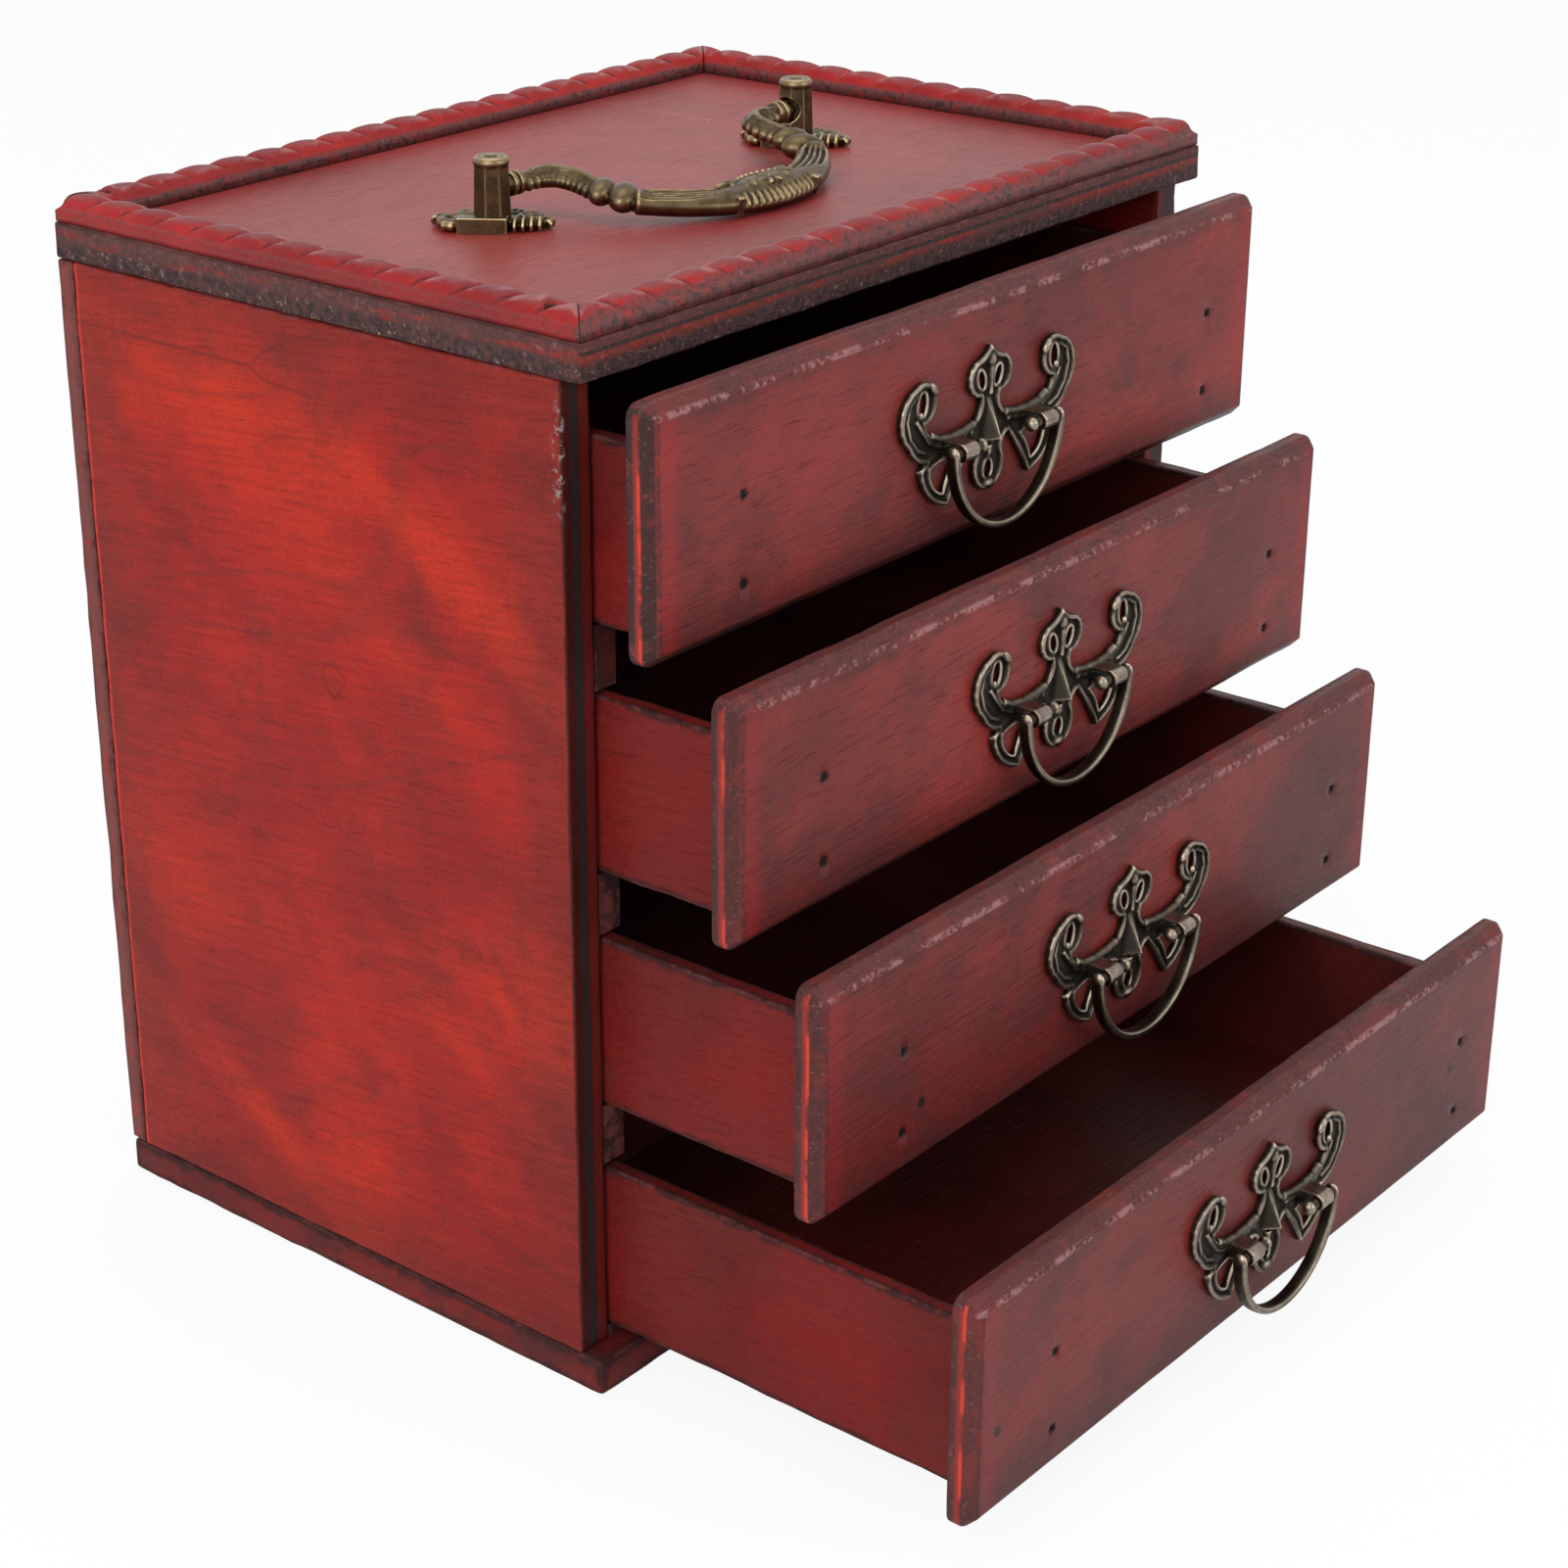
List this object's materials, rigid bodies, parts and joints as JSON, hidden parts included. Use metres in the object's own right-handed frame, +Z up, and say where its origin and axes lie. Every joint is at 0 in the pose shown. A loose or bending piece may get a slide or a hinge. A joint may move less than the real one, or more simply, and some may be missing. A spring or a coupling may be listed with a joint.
{
  "type": "jewelry box with drawers",
  "caption": "Upright wooden jewelry box with full-width bevelled drawers on runners, drop-bail pulls, a rope-moulded top and a folding carry handle.",
  "frame": {"origin": "centre of the base board's underside", "axes": "+X to the right seen from the front, the drawers open towards -Y, +Z up; at rest the drawers stand open by 12.8, 28.9, 45.3 and 75.8 mm from top to bottom and the carry handle lies folded forward on the top board"},
  "size_m": [0.17, 0.2023, 0.1964],
  "materials": {
    "case_wood": "mottled red stain, satin",
    "front_wood": "worn red-brown stain, satin, dark edges",
    "box_wood": "thin red stain, matt",
    "runner_wood": "dark stain, matt",
    "moulding_wood": "carved, red stain, satin",
    "antique_brass": "antiqued, dark recesses",
    "steel": "dull"
  },
  "bodies": {
    "case": {"base_board": "case_wood", "left_side_panel": "case_wood", "right_side_panel": "case_wood", "back_panel": "case_wood", "top_board": "case_wood", "rope_moulding_front": "moulding_wood", "rope_moulding_back": "moulding_wood", "rope_moulding_left": "moulding_wood", "rope_moulding_right": "moulding_wood", "moulding_pins": "steel", "runners_1": "runner_wood", "runners_2": "runner_wood", "runners_3": "runner_wood", "runners_4": "runner_wood", "handle_rosette_left": "antique_brass", "handle_rosette_right": "antique_brass", "handle_post_left": "antique_brass", "handle_post_right": "antique_brass", "handle_screws": "steel"},
    "carry_handle": {"carry_handle": "antique_brass"},
    "drawer_1": {"drawer_1_front": "front_wood", "drawer_1_box_front": "box_wood", "drawer_1_left_side": "box_wood", "drawer_1_right_side": "box_wood", "drawer_1_back": "box_wood", "drawer_1_bottom": "box_wood", "drawer_1_brads": "steel", "drawer_1_pull_plate": "antique_brass", "drawer_1_pull_clips": "antique_brass"},
    "drawer_2": {"drawer_2_front": "front_wood", "drawer_2_box_front": "box_wood", "drawer_2_left_side": "box_wood", "drawer_2_right_side": "box_wood", "drawer_2_back": "box_wood", "drawer_2_bottom": "box_wood", "drawer_2_brads": "steel", "drawer_2_pull_plate": "antique_brass", "drawer_2_pull_clips": "antique_brass"},
    "drawer_3": {"drawer_3_front": "front_wood", "drawer_3_box_front": "box_wood", "drawer_3_left_side": "box_wood", "drawer_3_right_side": "box_wood", "drawer_3_back": "box_wood", "drawer_3_bottom": "box_wood", "drawer_3_brads": "steel", "drawer_3_pull_plate": "antique_brass", "drawer_3_pull_clips": "antique_brass"},
    "drawer_4": {"drawer_4_front": "front_wood", "drawer_4_box_front": "box_wood", "drawer_4_left_side": "box_wood", "drawer_4_right_side": "box_wood", "drawer_4_back": "box_wood", "drawer_4_bottom": "box_wood", "drawer_4_brads": "steel", "drawer_4_pull_plate": "antique_brass", "drawer_4_pull_clips": "antique_brass"},
    "bail_1": {"drawer_1_bail": "antique_brass"},
    "bail_2": {"drawer_2_bail": "antique_brass"},
    "bail_3": {"drawer_3_bail": "antique_brass"},
    "bail_4": {"drawer_4_bail": "antique_brass"}
  },
  "joints": [
    {"name": "carry_handle_fold", "type": "hinge", "parent": "case", "child": "carry_handle", "pos_m": [-0.0011, -0.0013, 0.1909], "axis": [-1, 0, 0], "range_deg": [0, 192]},
    {"name": "drawer_1_slide", "type": "slide", "parent": "case", "child": "drawer_1", "axis": [0, -1, 0], "range_m": [-0.0128, 0.0752]},
    {"name": "bail_1_swing", "type": "hinge", "parent": "drawer_1", "child": "bail_1", "pos_m": [0, -0.0776, 0.15319], "axis": [-1, 0, 0], "range_deg": [-5, 180]},
    {"name": "drawer_2_slide", "type": "slide", "parent": "case", "child": "drawer_2", "axis": [0, -1, 0], "range_m": [-0.0289, 0.0591]},
    {"name": "bail_2_swing", "type": "hinge", "parent": "drawer_2", "child": "bail_2", "pos_m": [0, -0.0937, 0.11066], "axis": [-1, 0, 0], "range_deg": [-5, 180]},
    {"name": "drawer_3_slide", "type": "slide", "parent": "case", "child": "drawer_3", "axis": [0, -1, 0], "range_m": [-0.0453, 0.0427]},
    {"name": "bail_3_swing", "type": "hinge", "parent": "drawer_3", "child": "bail_3", "pos_m": [0, -0.1101, 0.06814], "axis": [-1, 0, 0], "range_deg": [-5, 180]},
    {"name": "drawer_4_slide", "type": "slide", "parent": "case", "child": "drawer_4", "axis": [0, -1, 0], "range_m": [-0.0758, 0.0122]},
    {"name": "bail_4_swing", "type": "hinge", "parent": "drawer_4", "child": "bail_4", "pos_m": [0, -0.1406, 0.02561], "axis": [-1, 0, 0], "range_deg": [-5, 180]}
  ]
}
